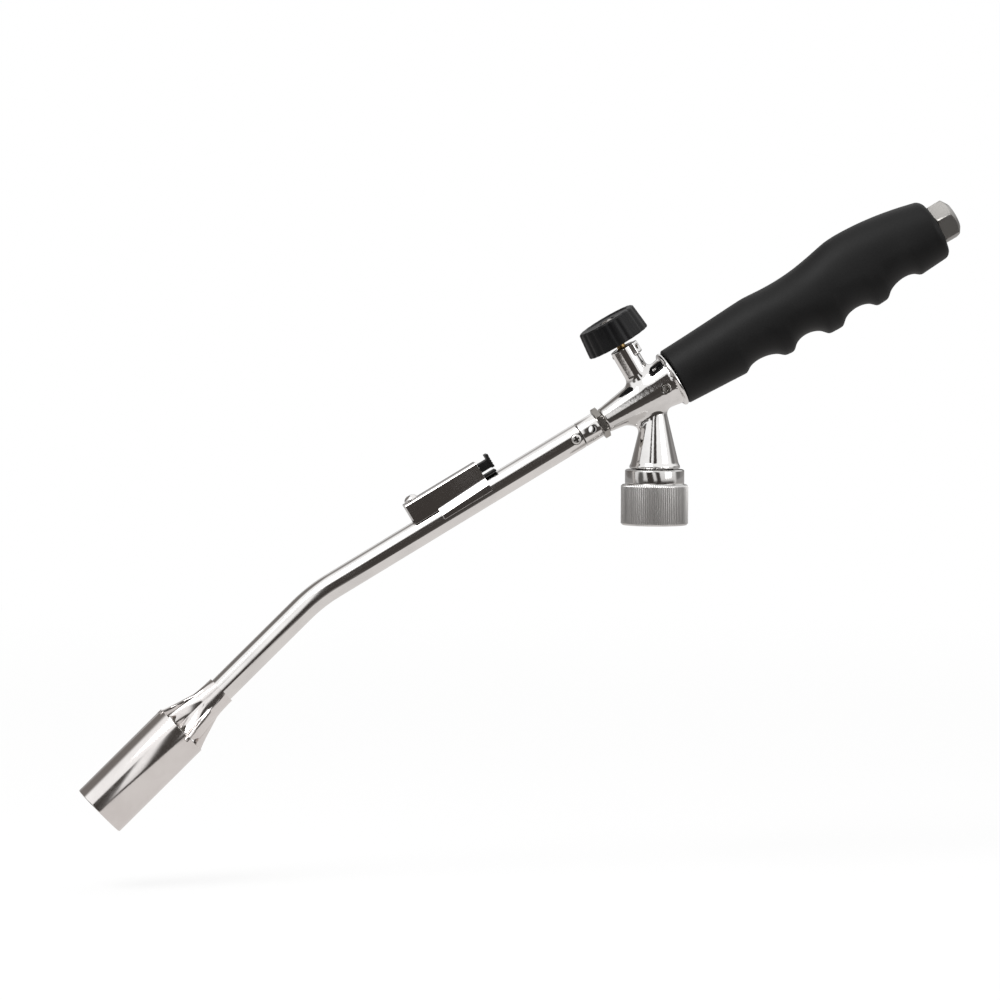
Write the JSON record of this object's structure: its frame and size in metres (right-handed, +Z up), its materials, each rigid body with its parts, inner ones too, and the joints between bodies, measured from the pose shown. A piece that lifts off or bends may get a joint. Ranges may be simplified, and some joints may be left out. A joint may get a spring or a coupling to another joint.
{
  "type": "propane torch",
  "caption": "Hand torch for a screw-on gas cylinder: swivel coupling, needle valve with knob, finger-grip handle, bent tube with piezo igniter and open burner cup.",
  "frame": {"origin": "centre of the coupling nut's open end, on the nut's axis", "axes": "+Z up the inlet and nut axis, +X towards the handle; the torch is symmetric in outline about the XZ plane and the burner points to -X and down"},
  "size_m": [0.3743, 0.0286, 0.265],
  "materials": {
    "chrome": "bright nickel-chrome plate, mirror polished",
    "plated_steel": "bright plated sheet steel",
    "dark_steel": "darkened steel, satin",
    "knurled_nickel": "satin nickel plate, knurled",
    "zinc": "dull zinc plate",
    "brass": "machined brass",
    "black_plastic": "satin black moulded plastic",
    "soft_grip": "fine matte soft-touch black",
    "seal_rubber": "black nitrile rubber",
    "ceramic": "glazed white ceramic",
    "lead_jacket": "red silicone lead jacket",
    "spring_wire": "music wire",
    "sinter": "sintered bronze, porous"
  },
  "bodies": {
    "frame": {"handle_grip": "soft_grip", "handle_tie_rod": "plated_steel", "handle_cap_nut": "zinc", "handle_washer": "zinc", "valve_body": "chrome", "body_roll_pin": "dark_steel", "gland_nut": "brass", "stem_stop_screw": "dark_steel", "inlet_stem": "brass", "probe_pin": "plated_steel", "inlet_seal": "seal_rubber", "inlet_filter": "sinter", "gas_jet": "brass", "lock_nut": "dark_steel", "air_collar": "chrome", "tube_screw": "plated_steel", "burner_tube": "chrome", "burner_neck": "chrome", "flame_tube": "chrome", "igniter_bracket": "plated_steel", "piezo_unit": "black_plastic", "igniter_spring": "spring_wire", "igniter_screw": "plated_steel", "ignition_lead": "lead_jacket", "electrode_insulator": "ceramic", "spark_electrode": "plated_steel"},
    "spindle": {"valve_spindle": "brass", "stem_o_ring": "seal_rubber"},
    "knob": {"control_knob": "black_plastic", "knob_screw": "dark_steel"},
    "coupling": {"coupling_nut": "knurled_nickel"},
    "button": {"igniter_button": "black_plastic"}
  },
  "joints": [
    {"name": "spindle_rise", "type": "slide", "parent": "frame", "child": "spindle", "axis": [-0.515, 0, 0.8572], "range_m": [0, 0.00151]},
    {"name": "knob_turn", "type": "hinge", "parent": "spindle", "child": "knob", "pos_m": [-0.00274, 0, 0.05555], "axis": [-0.515, 0, 0.8572], "range_deg": [0, 720]},
    {"name": "nut_swivel", "type": "hinge", "parent": "frame", "child": "coupling", "pos_m": [0, 0, 0], "axis": [0, 0, 1], "continuous": true},
    {"name": "button_press", "type": "slide", "parent": "frame", "child": "button", "axis": [-0.8572, 0, -0.515], "range_m": [0, 0.0046], "stiffness_N_per_m": 800, "springref_m": -0.003, "deforming": ["igniter_spring"]}
  ],
  "couplings": [
    {"joint": "spindle_rise", "follows": "knob_turn", "m_per_rad": 0.00011937}
  ]
}
